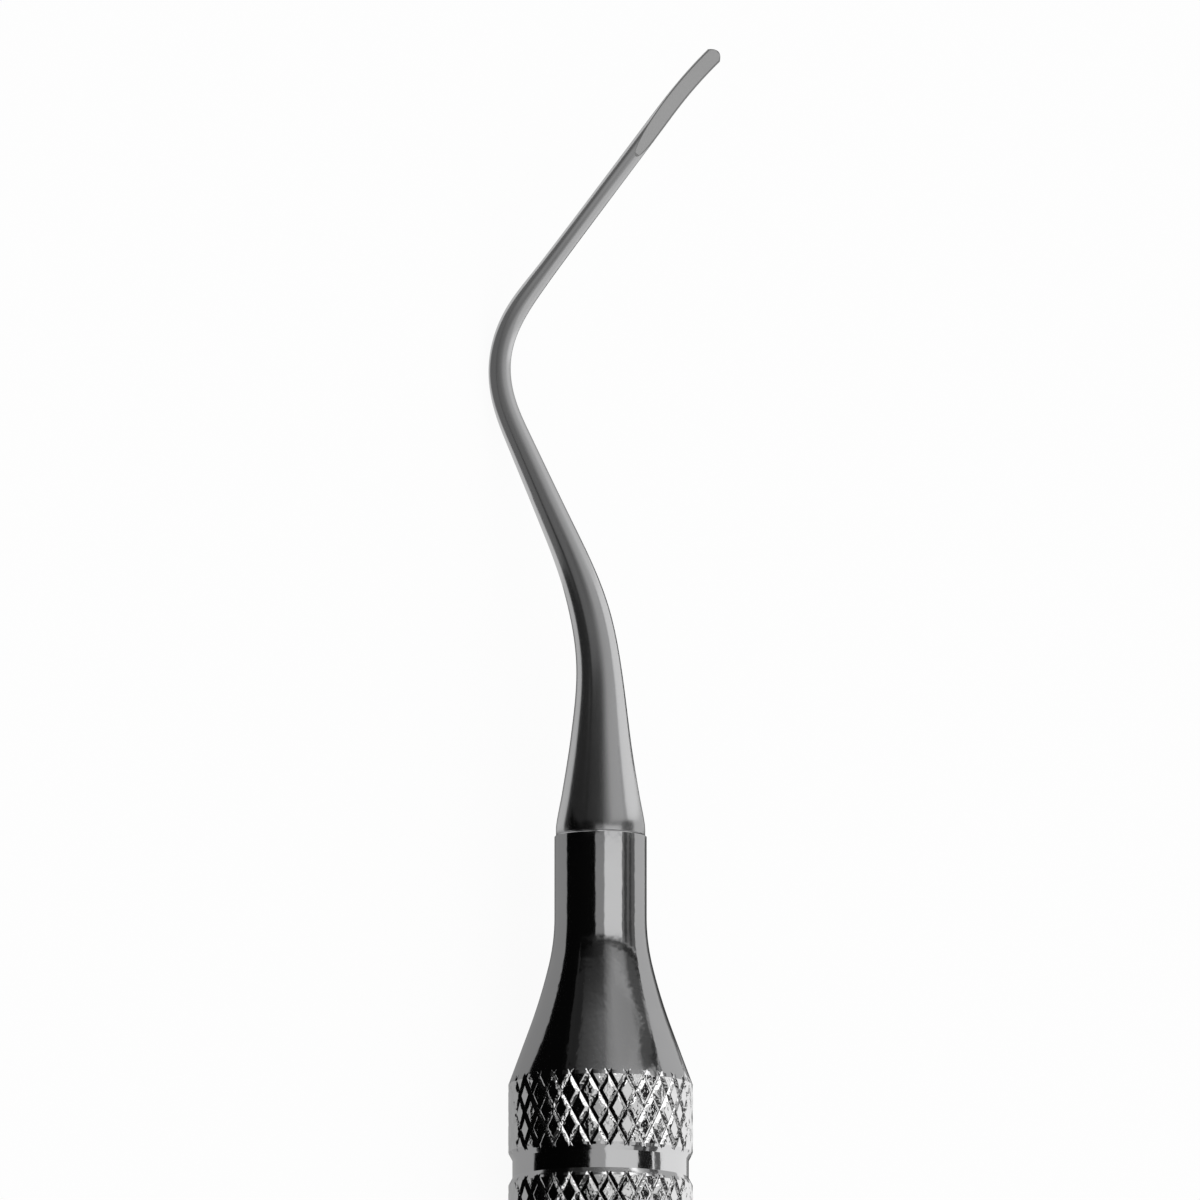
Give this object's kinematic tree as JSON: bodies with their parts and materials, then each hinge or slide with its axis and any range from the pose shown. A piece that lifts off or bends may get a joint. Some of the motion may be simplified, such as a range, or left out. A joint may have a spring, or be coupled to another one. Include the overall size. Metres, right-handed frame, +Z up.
{
  "type": "root elevator",
  "caption": "Slim root elevator: a tapered, curved stem with a half-round ground blade, seated in a round hollow handle with diamond-knurled grips and plain rings.",
  "frame": {"origin": "under the handle's axis, at the middle of the overall length, on the surface that the knurled crests and the elbow rest on", "axes": "+Y along the handle's axis towards the tip; +Z up, away from that surface; the plane of the bends contains +Y and is rolled about the handle's axis, so that the elbow lies towards -X and down and the tip lies towards +X and up"},
  "size_m": [0.0094, 0.1667, 0.0097],
  "materials": {
    "polished_steel": "mirror-polished stainless steel, ground flat on the blade's face",
    "handle_steel": "bright turned stainless steel with diamond knurling",
    "plug_steel": "bright turned stainless steel"
  },
  "bodies": {
    "root": {"working_end": "polished_steel", "handle": "handle_steel", "end_plug": "plug_steel"}
  },
  "joints": []
}
